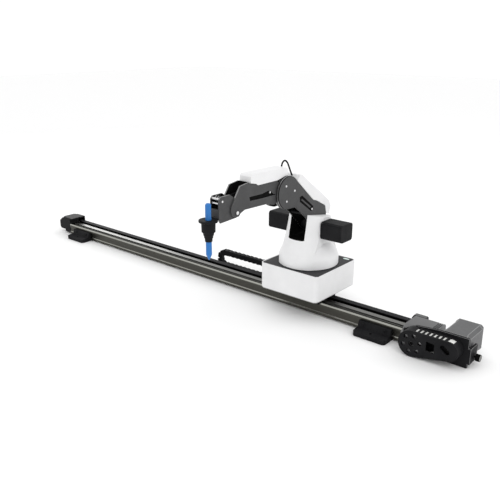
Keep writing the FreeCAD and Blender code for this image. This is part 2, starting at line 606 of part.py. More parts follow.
def make_crank():
    """Crank on the second shoulder shaft, its pin and the rod that drives the forearm."""
    crank = new_part("crank", "robot_x", 0, "shoulder_z", "dip + crank_turn - 90")
    pad(crank, "YZ", "0.6 - upper_inner", 3.2, loop((0, 0, 10), (0, "crank_radius", 5)))
    pad(crank, "YZ", -36, "36.6 - upper_inner", circle(0, 0, "joint_radius"))
    pocket(crank, "YZ", -20, 8, circle(0, "crank_radius", "pin_radius + running_gap"))
    tip = ("crank_radius * cos(dip + crank_turn)", "shoulder_z + crank_radius * sin(dip + crank_turn)")
    pin = new_part("crank_pin", "robot_x", *tip)
    pad(pin, "YZ", -17.4, 8.2, circle(0, 0, "pin_radius"))
    make_rod("drive_rod", *tip, "lean", -12.1, 2.6, "upper_length")


def make_rod(label, across, up, turn, start, thick, length):
    """A flat rod with an eye at each end; the far eye is the loose one."""
    rod = new_part(label, "robot_x", across, up, turn)
    pad(rod, "YZ", start, thick, loop((0, 0, "rod_half"), (0, length, "rod_half")))
    for place in (0, length):
        pad(rod, "YZ", start, thick, circle(0, place, "eye_radius"))
    pocket(rod, "YZ", f"{start} - 1", f"{thick} + 2", circle(0, 0, "pin_radius + running_gap"),
           circle(0, length, "pin_radius + open_gap"))


ELBOW = ("(0 - upper_length * sin(lean))", "(shoulder_z + upper_length * cos(lean))")
WRIST = (f"({ELBOW[0]} - fore_length * cos(dip))", f"({ELBOW[1]} - fore_length * sin(dip))")


def make_levelling():
    """Two parallel rods and the elbow link between them, which keep the pen upright."""
    make_rod("upper_levelling_rod", "rear_offset_y", "shoulder_z + rear_offset_z", "lean", 4.5, 4,
             "upper_length")
    make_rod("forearm_levelling_rod", f"{ELBOW[0]} + top_offset_y", f"{ELBOW[1]} + top_offset_z",
             "dip + 90", -8.5, 4, "fore_length")
    link = new_part("elbow_link", "robot_x", *ELBOW)
    pad(link, "YZ", -9.1, 18.2, circle(0, 0, 8))
    pad(link, "YZ", -2.5, 5, polygon([(-7, -5), (5, -7), (23.5, 16), (20, 24), (-7, 33.5), (-14, 31)]))
    pocket(link, "YZ", -20, 40, circle(0, 0, "axle_radius + running_gap"))
    pad(link, "YZ", 2.4, 6.4, circle("rear_offset_y", "rear_offset_z", "pin_radius"))
    pad(link, "YZ", -8.8, 6.4, circle("top_offset_y", "top_offset_z", "pin_radius"))


# ---- forearm: its own frame has Z along the arm and Y up -----------------------------------------

def make_forearm():
    """Two side plates with the drive pin, spacers and the white cover on top."""
    plates = new_part("forearm_plates", "robot_x", *ELBOW, "dip + 90")
    outline = polygon([(18, 173), (50.5, 146), (52, 119), (48, 116.3), (42.3, 96.5), (38, 92), (31.4, 27.5),
                       (-13, 30), (-16, 43.6), (-8, 66.6), (-0.5, 136), (-4, 148.5), (-9, 155),
                       (-9, 165), (-2, 174), (7, 176)])
    thick = "fore_outer - fore_inner"
    for start in ("fore_inner", "0 - fore_outer"):
        pad(plates, "YZ", start, thick, outline)
        pad(plates, "YZ", start, thick, circle(0, 0, "disc_radius - 0.3"))
    pocket(plates, "YZ", -30, 60, circle(0, 0, "axle_radius + running_gap"),
           circle(0, "fore_length", "3 + running_gap"))
    pad(plates, "YZ", "0 - fore_inner - 0.1", "2 * fore_inner + 0.2", rectangle(36, 51.5, 117, 119))
    slot = polygon([(21.8, 120.5), (18.1, 80.6), (19.4, 61), (16.4, 50), (8.6, 45), (4.4, 33),
                    (8.6, 81.3), (13.2, 119)])
    for start in ("fore_outer - 1.5", "0 - fore_outer - 1"):
        pocket(plates, "YZ", start, 2.5, slot)
    pad(plates, "YZ", "0 - fore_inner - 0.1", 3.3,
        circle("crank_radius * sin(crank_turn)", "0 - crank_radius * cos(crank_turn)", "pin_radius"))
    spacers = new_part("forearm_spacers", "robot_x", *ELBOW, "dip + 90")
    pad(spacers, "YZ", "0 - fore_inner", "2 * fore_inner", circle(4, 100, 3.5), circle(38, 106, 3))
    for start in ("fore_outer - 1.5", "0 - fore_outer - 0.5"):
        pad(spacers, "YZ", start, 2, circle(14.7, 54.7, 2.3))
    cover = new_part("forearm_cover", "robot_x", *ELBOW, "dip + 90")
    pad(cover, "YZ", "0 - fore_outer", "2 * fore_outer", polygon([
        (37.4, -8), (49, -9), (54, -4), (64.5, 100), (64.6, 107), (61, 111.5), (48.3, 113.5),
        (43.3, 97.2), (38.9, 91.6), (33.5, 28)]))
    soften(cover, "Fillet", 2, "X", lambda middle: middle.y > 60)
    pocket(cover, "YZ", "2 - fore_outer", "2 * fore_outer - 4", polygon([
        (28, -6), (48.4, -6.6), (51.6, -3.4), (62, 100), (62.2, 106.2), (59.8, 109.4), (48, 111.4),
        (28, 91)]))


def make_wrist():
    """Level wrist bracket, its bolts, the pen holder and the pen."""
    place = ("robot_x", *WRIST)
    bracket = new_part("wrist_bracket", *place)
    outline = polygon([(9, -6), (2, -11), (-44, -13), (-47, -6), (-47, 34), (-42, 39), (-16, 39),
                       (-3, 30), (9, 8)])
    for start in (9, -12):
        pad(bracket, "YZ", start, 3, outline)
    pad(bracket, "YZ", -9.1, 18.2, rectangle(-47, -41.5, -2.9, 14))
    pad(bracket, "YZ", -17, 34, circle(0, 0, 3))
    pad(bracket, "YZ", -9.1, 4.6, circle("top_offset_y", "top_offset_z", "pin_radius"))
    bolts = new_part("wrist_bolts", *place)
    for seat, head, cap in ((11.2, 11.2, 17), (-12.8, -12.2, -18.2)):
        pocket(bracket, "YZ", seat, 1.6, circle(-37, 29, 2.6))
        pad(bolts, "YZ", head, 1, circle(-37, 29, 2.3))
        pad(bolts, "YZ", cap, 1.2, circle(0, 0, 3.6))
    pad(bolts, "YZ", -9, 18, circle(-42.5, 34.5, 2.4), circle(-34.5, 34.5, 2.4), circle(-43.5, 25.5, 1.6))
    holder_place = (f"{WRIST[0]} + pen_y", WRIST[1])
    holder = new_part("pen_holder", "robot_x", *holder_place)
    bore = "pen_radius + 0.1"
    turned(holder, [(bore, -2.9), (19, -2.9), (19, -6.9), (14, -9), (13.6, -27), (10.8, -28.5),
                    (10.4, -33.5), (9.4, -34.2), (8.8, -39), (7.6, -39.6), (7.4, -46.5), (bore, -46.5)])
    pad(holder, "XY", -6.9, 4, polygon([(-8.5, 15), (8.5, 15), (8.5, 34), (-8.5, 34)]))
    pen = new_part("pen", "robot_x", *holder_place)
    turned(pen, [(0, "pen_top"), (3.2, "pen_top"), (5.2, "pen_top - 1.6"), ("pen_radius", "pen_top - 4.5"),
                 ("pen_radius", "pen_tip + 11"), (4.4, "pen_tip + 7.5"), (1.5, "pen_tip + 1.2"),
                 (0.6, "pen_tip"), (0, "pen_tip")])


def make_elbow_cable():
    """Lead from the upper cover to the forearm cover: straight runs joined by tangent arcs."""
    route = [(39.6, 29.2), (33.5, 40), (28, 50.5), (22, 60), (13.5, 65.5), (5.5, 62.5), (1.9, 53.8)]
    elbow_y, elbow_z = value(ELBOW[0]), value(ELBOW[1])
    points = [FreeCAD.Vector(value("robot_x"), elbow_y + across, elbow_z + up) for across, up in route]
    edges = []
    start = points[0]
    for before, corner, after in zip(points, points[1:], points[2:]):
        into, out = corner - before, after - corner
        half_turn = into.getAngle(out) / 2
        reach = 0.45 * min(into.Length, out.Length)
        radius = reach / math.tan(half_turn)
        first = corner - FreeCAD.Vector(into).normalize() * reach
        last = corner + FreeCAD.Vector(out).normalize() * reach
        inward = ((first + last) * 0.5 - corner).normalize()
        middle = corner + inward * (radius / math.cos(half_turn) - radius)
        edges += [Part.LineSegment(start, first).toShape(), Part.Arc(first, middle, last).toShape()]
        print(f"cable bend radius {radius:.1f}")
        start = last
    edges.append(Part.LineSegment(start, points[-1]).toShape())
    path = Part.Wire(edges)
    end = Part.Wire([Part.Circle(points[0], points[1] - points[0], value("cable_radius")).toShape()])
    tube = path.makePipeShell([end], True, True)
    section = math.pi * value("cable_radius") ** 2
    print(f"cable length {path.Length:.1f}, volume over section {tube.Volume / section:.1f}")
    cable = doc.addObject("Part::Feature", "elbow_cable")
    cable.Label = "elbow_cable"
    cable.Shape = tube
    SUBPARTS.append(cable)


# ---- build, check and write ----------------------------------------------------------------------

for make in (make_rail_extrusion, make_guide_rail, make_drive_belt, make_idler_end, make_feet,
             make_drive_end, make_rail_motor, make_belt_cover, make_end_switch, make_cable_chain,
             make_carriage, make_base, make_turret, make_shoulder_motors, make_upper_arm, make_crank,
             make_levelling, make_forearm, make_wrist, make_elbow_cable):
    make()
doc.recompute()

for item in doc.Objects:
    if "Invalid" in item.State or "Error" in item.State:
        raise RuntimeError(f"{item.Label} is {item.State}")
for part in SUBPARTS:
    if part.Shape.isNull() or not part.Shape.isValid() or not part.Shape.Solids:
        raise RuntimeError(f"{part.Label} has no valid solid")

os.makedirs("parts", exist_ok=True)
for part in SUBPARTS:
    part.Shape.exportStep(f"parts/{part.Label}.step")
print(len(SUBPARTS), "nodes written")
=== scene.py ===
"""Looks of the rail-mounted desktop robot arm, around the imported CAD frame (metres, +Z up)."""
import json
import math

import bmesh
import bpy
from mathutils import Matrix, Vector

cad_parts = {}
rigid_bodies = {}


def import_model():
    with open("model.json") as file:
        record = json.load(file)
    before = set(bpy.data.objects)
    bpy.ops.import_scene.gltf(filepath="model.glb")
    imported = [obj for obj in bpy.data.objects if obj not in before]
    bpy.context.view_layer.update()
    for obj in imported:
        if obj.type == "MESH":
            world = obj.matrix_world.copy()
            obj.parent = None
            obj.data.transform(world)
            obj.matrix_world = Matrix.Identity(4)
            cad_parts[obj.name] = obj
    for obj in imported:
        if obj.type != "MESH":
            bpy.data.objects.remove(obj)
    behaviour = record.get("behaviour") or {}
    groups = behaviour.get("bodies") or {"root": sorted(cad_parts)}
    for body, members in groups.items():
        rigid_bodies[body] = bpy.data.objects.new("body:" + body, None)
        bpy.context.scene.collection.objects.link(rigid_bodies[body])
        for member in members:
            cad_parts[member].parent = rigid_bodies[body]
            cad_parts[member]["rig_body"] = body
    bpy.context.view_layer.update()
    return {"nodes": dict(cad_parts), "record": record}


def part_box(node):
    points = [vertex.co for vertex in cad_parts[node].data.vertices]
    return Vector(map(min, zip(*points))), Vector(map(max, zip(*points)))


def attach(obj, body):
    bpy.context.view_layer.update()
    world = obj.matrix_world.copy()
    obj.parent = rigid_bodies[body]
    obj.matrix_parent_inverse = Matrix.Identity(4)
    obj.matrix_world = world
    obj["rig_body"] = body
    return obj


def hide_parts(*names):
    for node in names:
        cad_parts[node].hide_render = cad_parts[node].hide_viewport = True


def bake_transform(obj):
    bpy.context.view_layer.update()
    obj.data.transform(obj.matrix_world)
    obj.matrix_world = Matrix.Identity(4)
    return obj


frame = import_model()
nodes = frame["nodes"]
MM = 0.001
FLOOR_HALF = 9.0
FLOOR_GAP = 0.0002  # the feet stand this far above the floor


# ---- camera, floor and light ---------------------------------------------------------------------

def make_camera():
    """A long view from the front right, a little above the rail."""
    data = bpy.data.cameras.new("camera")
    data.lens, data.sensor_width = 45.36, 36.0
    camera = bpy.data.objects.new("camera", data)
    camera.location = (1.147, -1.168, 0.627)
    camera.rotation_euler = [math.radians(angle) for angle in (71.202, 0.0, 40.538)]
    bpy.context.scene.collection.objects.link(camera)
    bpy.context.scene.camera = camera


def make_area(name, place, target, size, power, colour=(1, 1, 1)):
    """A rectangular soft light that points at a target."""
    data = bpy.data.lights.new(name, "AREA")
    data.shape, data.size, data.size_y = "RECTANGLE", size[0], size[1]
    data.energy, data.color = power, colour
    light = bpy.data.objects.new(name, data)
    light.location = place
    light.rotation_euler = (Vector(target) - Vector(place)).to_track_quat("-Z", "Y").to_euler()
    bpy.context.scene.collection.objects.link(light)


def make_studio():
    """A bright world, a plain pale floor and three soft boxes."""
    world = bpy.data.worlds.new("studio")
    world.use_nodes = True
    background = world.node_tree.nodes["Background"]
    background.inputs["Color"].default_value = (1, 1, 1, 1)
    background.inputs["Strength"].default_value = 1.06
    bpy.context.scene.world = world
    bpy.context.scene.view_settings.view_transform = "Standard"
    mesh = bpy.data.meshes.new("floor")
    mesh.from_pydata([(-FLOOR_HALF, -FLOOR_HALF, 0), (FLOOR_HALF, -FLOOR_HALF, 0),
                      (FLOOR_HALF, FLOOR_HALF, 0), (-FLOOR_HALF, FLOOR_HALF, 0)], [], [(0, 1, 2, 3)])
    floor = bpy.data.objects.new("floor", mesh)
    floor.location.z = -FLOOR_GAP
    bpy.context.scene.collection.objects.link(floor)
    paper = NewMaterial("floor_paper")
    paper.shader.inputs["Base Color"].default_value = (0.93, 0.93, 0.93, 1)
    paper.shader.inputs["Roughness"].default_value = 0.9
    mesh.materials.append(paper.material)
    make_area("key", (2.0, -1.2, 2.2), (0.3, 0, 0.1), (1.6, 1.2), 9)
    make_area("left_strip", (-2.5, 1.2, 0.66), (-0.5, 0, 0.03), (1.5, 0.8), 12)
    make_area("rim", (1.8, 1.8, 1.6), (0.3, 0, 0.15), (1.2, 0.8), 6)


# ---- materials ----------------------------------------------------------------------------------

class NewMaterial:
    """A node material with its shader, and short calls that add nodes to it."""

    def __init__(self, name):
        self.material = bpy.data.materials.new(name)
        self.material.use_nodes = True
        self.tree = self.material.node_tree
        self.shader = self.tree.nodes["Principled BSDF"]
        coordinates = self.tree.nodes.new("ShaderNodeTexCoord")
        self.place = coordinates.outputs["Object"]

    def node(self, kind, **settings):
        """A new node, its settings put on attributes or, where they name one, on sockets."""
        made = self.tree.nodes.new("ShaderNode" + kind)
        for name, setting in settings.items():
            if hasattr(made, name):
                setattr(made, name, setting)
            else:
                made.inputs[name.replace("_", " ")].default_value = setting
        return made

    def link(self, source, target):
        """Joins two sockets."""
        self.tree.links.new(source, target)

    def stretched(self, scale):
        """The object's coordinates, scaled."""
        mapping = self.node("Mapping")
        mapping.inputs["Scale"].default_value = scale
        self.link(self.place, mapping.inputs["Vector"])
        return mapping.outputs["Vector"]

    def noise(self, size, scale=(1, 1, 1), detail=4.0):
        """A noise from 0 to 1 whose features are about size metres across."""
        noise = self.node("TexNoise")
        noise.inputs["Scale"].default_value = 1.0 / size
        noise.inputs["Detail"].default_value = detail
        noise.inputs["Roughness"].default_value = 0.6
        self.link(self.stretched(scale), noise.inputs["Vector"])
        return noise.outputs["Fac"]

    def ramp(self, source, low, high, start=0.3, end=0.7):
        """A value, or a colour, that runs from low to high as the source does from start to end."""
        if isinstance(low, tuple):
            return self.mixed(self.ramp(source, 0.0, 1.0, start, end), low, high)
        span = self.node("MapRange", clamp=True)
        for name, number in (("From Min", start), ("From Max", end), ("To Min", low), ("To Max", high)):
            span.inputs[name].default_value = number
        self.link(source, span.inputs["Value"])
        return span.outputs["Result"]

    def mixed(self, factor, first, second):
        """One colour over another, by a factor; each is a colour or a socket."""
        mix = self.node("Mix", data_type="RGBA")
        for name, colour in (("A", first), ("B", second)):
            if isinstance(colour, tuple):
                mix.inputs[name].default_value = (*colour, 1)
            else:
                self.link(colour, mix.inputs[name])
        self.link(factor, mix.inputs["Factor"])
        return mix.outputs["Result"]

    def bump(self, height, depth, strength=0.5):
        """Relief of about depth metres."""
        bump = self.node("Bump")
        bump.inputs["Distance"].default_value = depth
        bump.inputs["Strength"].default_value = strength
        self.link(height, bump.inputs["Height"])
        self.link(bump.outputs["Normal"], self.shader.inputs["Normal"])

    def edges(self, width):
        """1 at sharp edges and 0 on flats, over a width in metres."""
        bevel = self.node("Bevel", samples=6)
        bevel.inputs["Radius"].default_value = width
        geometry = self.node("NewGeometry")
        dot = self.node("VectorMath", operation="DOT_PRODUCT")
        self.link(bevel.outputs["Normal"], dot.inputs[0])
        self.link(geometry.outputs["Normal"], dot.inputs[1])
        return self.ramp(dot.outputs["Value"], 1.0, 0.0, 0.75, 0.985)


def plastic(name, colour, rough, grain, highlight_lift=0.0, coat=0.0, gloss=0.5):
    """Moulded plastic: a fine spark-eroded grain, faint flow marks and a painted highlight that lifts the
    edges lighter.
    """
    m = NewMaterial(name)
    lift = tuple(min(1.0, part * 1.06 + 0.006) for part in colour)
    tone = m.ramp(m.noise(0.05), colour, lift)
    # Painted highlight: the edges are lifted lighter by this amount.
    if highlight_lift:
        lighter = tuple(min(1.0, part + highlight_lift) for part in colour)
        tone = m.mixed(m.edges(0.0006), tone, lighter)
    m.link(tone, m.shader.inputs["Base Color"])
    m.link(m.ramp(m.noise(0.012), rough - 0.05, rough + 0.06), m.shader.inputs["Roughness"])
    m.shader.inputs["Coat Weight"].default_value = coat
    m.shader.inputs["Specular IOR Level"].default_value = gloss
    m.shader.inputs["Coat Roughness"].default_value = 0.15
    m.bump(m.noise(grain, detail=2.0), grain * 0.12, 0.35)
    return m.material


def brushed(name, colour, rough, along=(0.02, 1, 1), metallic=1.0, edge_highlight=0.0):
    """Metal with fine lines drawn along one axis and, where an edge value is given, a painted highlight
    along the edges.
    """
    m = NewMaterial(name)
    lines = m.noise(0.0012, along, detail=3.0)
    shade = m.ramp(m.noise(0.08, (0.3, 1, 1)), tuple(part * 0.9 for part in colour), colour)
    streak = m.mixed(m.ramp(lines, 0.0, 0.35), shade, tuple(min(1.0, part * 1.25) for part in colour))
    # Painted highlight: the edges are lightened to this value.
    if edge_highlight:
        streak = m.mixed(m.edges(0.0007), streak, (edge_highlight, edge_highlight, edge_highlight))
    m.link(streak, m.shader.inputs["Base Color"])
    m.shader.inputs["Metallic"].default_value = metallic
    m.link(m.ramp(lines, rough - 0.05, rough + 0.08), m.shader.inputs["Roughness"])
    m.bump(lines, 0.00004, 0.4)
    return m.material


def painted(name, colour, rough, edge_highlight, gloss=0.25, highlight_width=0.0006):
    """Anodised or powder-coated metal: fine speckle, broad tone shifts and a painted highlight along the
    edges.
    """
    m = NewMaterial(name)
    darker = tuple(part * 0.88 for part in colour)
    lighter = tuple(part * 1.1 for part in colour)
    tone = m.ramp(m.noise(0.03), darker, lighter)
    speck = m.mixed(m.ramp(m.noise(0.0007, detail=1.0), 0.0, 0.25, 0.5, 0.8), tone,
                    tuple(min(1.0, part * 2.0 + 0.02) for part in colour))
    # Painted highlight: the edges, over the given width, are lightened to the edge value.
    m.link(m.mixed(m.edges(highlight_width), speck, (edge_highlight, edge_highlight, edge_highlight)), m.shader.inputs["Base Color"])
    m.shader.inputs["Specular IOR Level"].default_value = gloss
    m.link(m.ramp(m.noise(0.006), rough - 0.06, rough + 0.06), m.shader.inputs["Roughness"])
    m.bump(m.noise(0.0006, detail=1.0), 0.00005, 0.35)
    return m.material


def rubber(name, colour, gloss=0.2):
    """Matte rubber with a dusty bloom."""
    m = NewMaterial(name)
    bloom = tuple(part * 1.5 + 0.003 for part in colour)
    m.shader.inputs["Specular IOR Level"].default_value = gloss
    m.link(m.ramp(m.noise(0.015), colour, bloom), m.shader.inputs["Base Color"])
    m.link(m.ramp(m.noise(0.004), 0.62, 0.8), m.shader.inputs["Roughness"])
    m.bump(m.noise(0.0008), 0.00008, 0.4)
    return m.material


# The edge values of brushed() and painted(), and the number after the grain in plastic(), lighten the
# edges: a painted highlight.
SLOTS = {
    "rail_metal": brushed("gunmetal_profile", (0.075, 0.073, 0.064), 0.42, edge_highlight=0.30),
    "bright_steel": brushed("ground_steel", (0.15, 0.15, 0.142), 0.33, edge_highlight=0.4),
    "belt_rubber": rubber("belt_rubber", (0.008, 0.008, 0.009)),
    "belt_white": rubber("belt_polyurethane", (0.62, 0.62, 0.60), 0.4),
    "silver": brushed("turned_steel", (0.56, 0.56, 0.56), 0.34, (1, 0.05, 1), edge_highlight=0.8),
    "black_metal": painted("black_coated_steel", (0.008, 0.008, 0.009), 0.55, 0.06, 0.10),
    "black_plastic": plastic("black_moulding", (0.008, 0.008, 0.009), 0.55, 0.0006, 0.02, gloss=0.07),
    "motor_grey": painted("motor_coating", (0.075, 0.076, 0.078), 0.42, 0.65, 0.4, 0.0016),
    "dark_plate": painted("anodised_plate", (0.052, 0.052, 0.053), 0.50, 0.22),
    "white_shell": plastic("white_housing", (0.74, 0.74, 0.745), 0.45, 0.0007, gloss=0.35),
    "base_top": plastic("charcoal_lid", (0.030, 0.030, 0.032), 0.60, 0.0007, 0.04, gloss=0.2),
    "light": plastic("light_pipe", (0.62, 0.74, 0.70), 0.25, 0.0009, 0.0, 0.4),
    "pen_blue": plastic("pen_barrel", (0.020, 0.150, 0.44), 0.35, 0.0011, gloss=0.3),
}
# Near-black painted shade for the turret's arm slot, the plate recesses and inner sides, the rail
# channels, the disc rims, the screw's sides and the shaft ends.
PAINTED_SHADE = rubber("painted_shade_black", (0.002, 0.002, 0.002), 0.05)
# Lighter metal on the rail's front chamfer and the ledge under it: a painted highlight.
HIGHLIGHT_METAL = brushed("painted_highlight_metal", (0.36, 0.36, 0.33), 0.32)
# Lighter narrow faces round the arm plates and the wrist bracket: a painted highlight where their edges
# catch light.
SIDE_HIGHLIGHT = brushed("painted_side_highlight", (0.27, 0.27, 0.27), 0.40, edge_highlight=0.4)
BLASTED = brushed("blasted_aluminium", (0.17, 0.17, 0.172), 0.45, (1, 0.05, 1), edge_highlight=0.5)
# Lighter rounded edges on the motor and its plate: a painted highlight.
RIM_HIGHLIGHT = brushed("painted_rim_highlight", (0.26, 0.26, 0.26), 0.38)
SCREW_HEAD = brushed("screw_head", (0.72, 0.72, 0.72), 0.30, metallic=0.4)
# Lighter grey for the end switch's upward faces.
GREY_TOP = plastic("grey_upward_faces", (0.11, 0.11, 0.11), 0.5, 0.0006, gloss=0.2)


# ---- pieces made from the frame ------------------------------------------------------------------

ROBOT_X = 0.332


def rounded(node, width, paint=(), rim=None):
    """A finished copy of a CAD node: flat faces cleaned up, edges rounded, some faces in other materials.

    paint lists (material, test) pairs; a test gets a face's centre, in mm with X from the robot's axis,
    and its normal, and the last test that holds decides. The rounded edges take the rim material, if
    there is one."""
    source = nodes[node]
    bm = bmesh.new()
    bm.from_mesh(source.data)
    bmesh.ops.remove_doubles(bm, verts=bm.verts, dist=1e-6)
    bmesh.ops.dissolve_limit(bm, angle_limit=math.radians(0.6), verts=bm.verts, edges=bm.edges)
    for face in bm.faces:
        face.smooth = True
        face.material_index = 0
        centre = (face.calc_center_median() - Vector((ROBOT_X, 0, 0))) / MM
        for index, (_, test) in enumerate(paint, start=1):
            if test(centre, face.normal):
                face.material_index = index
    mesh = bpy.data.meshes.new(node + "_finish")
    bm.to_mesh(mesh)
    bm.free()
    piece = bpy.data.objects.new(node + "_finish", mesh)
    bpy.context.scene.collection.objects.link(piece)
    slot = slot_of(node)
    for material in (SLOTS[slot], *(material for material, _ in paint)):
        mesh.materials.append(material)
    if rim:
        mesh.materials.append(rim)
    bevel = add_bevel(piece, width, 36.0)
    bevel.material = len(mesh.materials) - 1 if rim else -1
    weighted = piece.modifiers.new("normals", "WEIGHTED_NORMAL")
    weighted.keep_sharp = True
    return tied(applied(piece), source["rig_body"], slot, node)


def add_bevel(piece, width, sharp):
    """Rounds a piece's edges where its faces meet at more than sharp degrees."""
    bevel = piece.modifiers.new("edges", "BEVEL")
    bevel.width, bevel.segments, bevel.limit_method = width, 2, "ANGLE"
    bevel.angle_limit = math.radians(sharp)
    return bevel


def applied(piece):
    """Replaces a piece's modifiers, or a curve, by the mesh that they give."""
    depsgraph = bpy.context.evaluated_depsgraph_get()
    mesh = bpy.data.meshes.new_from_object(piece.evaluated_get(depsgraph))
    if piece.type == "MESH":
        piece.modifiers.clear()
        piece.data = mesh
        return piece
    name = piece.name
    bpy.data.objects.remove(piece)
    piece = bpy.data.objects.new(name, mesh)
    bpy.context.scene.collection.objects.link(piece)
    return piece


def tied(piece, body, slot, *replaced):
    """Gives a piece its slot's material if it has none, and ties it to its body."""
    if not piece.data.materials:
        piece.data.materials.append(SLOTS[slot])
    if body:
        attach(piece, body)
    if replaced:
        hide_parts(*replaced)
    return piece


def slot_of(node):
    """The record's material slot of a CAD node."""
    return next(row["material_slot"] for row in frame["record"]["subparts"] if row["node"] == node)


def dress_nodes():
    """Every CAD node takes its slot's material."""
    for name, node in nodes.items():
        node.data.materials.clear()
        node.data.materials.append(SLOTS[slot_of(name)])


def new_mesh(name, bm):
    """A new smooth-shaded object from a bmesh."""
    for face in bm.faces:
        face.smooth = True
    mesh = bpy.data.meshes.new(name)
    bm.to_mesh(mesh)
    bm.free()
    piece = bpy.data.objects.new(name, mesh)
    bpy.context.scene.collection.objects.link(piece)
    return piece


def softened(piece, width):
    """A piece with its edges rounded and its normals weighted."""
    add_bevel(piece, width, 28.0)
    piece.modifiers.new("normals", "WEIGHTED_NORMAL")
    return applied(piece)


# ---- finished nodes ------------------------------------------------------------------------------

TURRET_SLOT_HALF = 22.3
TURRET_SLOT_FLOOR = 182.8
UPPER_INNER, UPPER_OUTER = 18.0, 21.0
FORE_INNER, FORE_OUTER = 12.5, 15.5
BRACKET_INNER = 9.0
RECESS_DEPTH = 1.8
BELT_CHANNEL = (1.9, 27.6)
GUIDE_GROOVE = (-27.6, -20.4)
CHANNEL_LEVELS = (12.0, 34.9)
CHAMFER_Y = -28.0


def in_slot(centre, normal):
    """The turret's arm slot."""
    return abs(centre.x) < TURRET_SLOT_HALF and centre.z > TURRET_SLOT_FLOOR


def cut_edge(centre, normal):
    """The narrow faces round a plate that lies across X."""
    return abs(normal.x) < 0.5


def between(half):
    """The cross walls between a pair of plates."""
    return lambda centre, normal: abs(centre.x) < half - 0.4


def bracket_edge(centre, normal):
    """The narrow faces round the wrist bracket's two plates."""
    return abs(normal.x) < 0.5 and abs(centre.x) > BRACKET_INNER + 0.2


def shaft_end(centre, normal):
    """The front end of a shaft."""
    return normal.y < -0.9


def upward(centre, normal):
    """Level faces that look up."""
    return normal.z > 0.9


def whole(centre, normal):
    """Every face."""
    return True


def screw_side(centre, normal):
    """All but the outer face of the tension screw."""
    return normal.x < 0.9


def inner_side(half):
    """The side of a pair of plates that faces the other plate."""
    return lambda centre, normal: abs(centre.x) < half + 0.2 and normal.x * centre.x < 0


def sunk(face):
    """The floor and walls of the shallow recesses in a plate's outer face."""
    return lambda centre, normal: (face - RECESS_DEPTH < abs(centre.x) < face - 0.4
                                   and (abs(normal.x) > 0.9 or abs(centre.x) > face - RECESS_DEPTH / 2))


def rail_channels(centre, normal):
    """The belt channel and the groove beside the guide."""
    inside = any(low < centre.y < high for low, high in (BELT_CHANNEL, GUIDE_GROOVE))
    return inside and CHANNEL_LEVELS[0] < centre.z < CHANNEL_LEVELS[1]


def rail_highlights(centre, normal):
    """The front chamfer and the ledge under it."""
    return centre.y < CHAMFER_Y and normal.z > 0.3 and abs(normal.x) < 0.5 and abs(normal.y) > 0.1


# node: (rounding, painted faces, material of the rounded edges)
# The near-black faces below are painted shade, and the lighter chamfer, side and rim faces are painted
# highlights.
FINISHES = {
    "rail_extrusion": (0.0004, [(PAINTED_SHADE, rail_channels), (HIGHLIGHT_METAL, rail_highlights)]),
    "guide_rail": (0.0004,),
    "idler_block": (0.0020,),
    "idler_top_plate": (0.0010,),
    "rail_feet": (0.0010,),
    "drive_block": (0.0008, [(BLASTED, whole)]),
    "motor_plate": (0.0008, [], RIM_HIGHLIGHT),
    "rail_motor": (0.0013, [], RIM_HIGHLIGHT),
    "belt_cover": (0.0009,),
    "end_switch": (0.0008, [(GREY_TOP, upward)]),
    "tension_screw": (0.0004, [(PAINTED_SHADE, screw_side)]),
    "carriage_plate": (0.0006,),
    "chain_bracket": (0.0006,),
    "base_bottom_plate": (0.0004,),
    "base_shell": (0.0009,),
    "base_top_plate": (0.0003,),
    "status_light": (0.0003,),
    "turret_shell": (0.0012, [(PAINTED_SHADE, in_slot)]),
    "motor_covers": (0.0012,),
    "upper_arm_cover": (0.0010,),
    "forearm_cover": (0.0010,),
    "upper_arm_plates": (0.0004, [(SIDE_HIGHLIGHT, cut_edge), (PAINTED_SHADE, sunk(UPPER_OUTER)),
                                  (PAINTED_SHADE, inner_side(UPPER_INNER))]),
    "forearm_plates": (0.0004, [(SIDE_HIGHLIGHT, cut_edge), (PAINTED_SHADE, sunk(FORE_OUTER)),
                                (PAINTED_SHADE, inner_side(FORE_INNER)), (PAINTED_SHADE, between(FORE_INNER))]),
    "elbow_discs": (0.0005, [(PAINTED_SHADE, cut_edge)]),
    "elbow_screws": (0.0003, [(SCREW_HEAD, whole)]),
    "wrist_bracket": (0.0004, [(SIDE_HIGHLIGHT, bracket_edge), (PAINTED_SHADE, inner_side(BRACKET_INNER))]),
    "drive_shaft": (0.0003, [(PAINTED_SHADE, shaft_end)]),
    "motor_pulley": (0.0002, [(PAINTED_SHADE, shaft_end)]),
    "wrist_bolts": (0.0004, [(SCREW_HEAD, whole)]),
    "pen_holder": (0.0006,),
    "pen": (0.0005,),
    "upper_levelling_rod": (0.0004,),
    "forearm_levelling_rod": (0.0004,),
    "drive_rod": (0.0003,),
    "elbow_link": (0.0004,),
    "crank": (0.0004,),
    "levelling_anchor": (0.0004,),
    "port_panel": (0.0003,),
    "power_button": (0.0004,),
    "foot_screws": (0.0003,),
    "chain_tray": (0.0002,),
    "turntable": (0.0004,),
    "belt_clamp": (0.0003,),
    "guide_blocks": (0.0003,),
}


# ---- cable chain ---------------------------------------------------------------------------------

CHAIN_Y = (62.0, 76.0)
CHAIN_HALF = 7.5  # half its height
LINK = 15.0
CHEEK = 1.6
LAP = 1.6  # how far a link's tail reaches into the next one


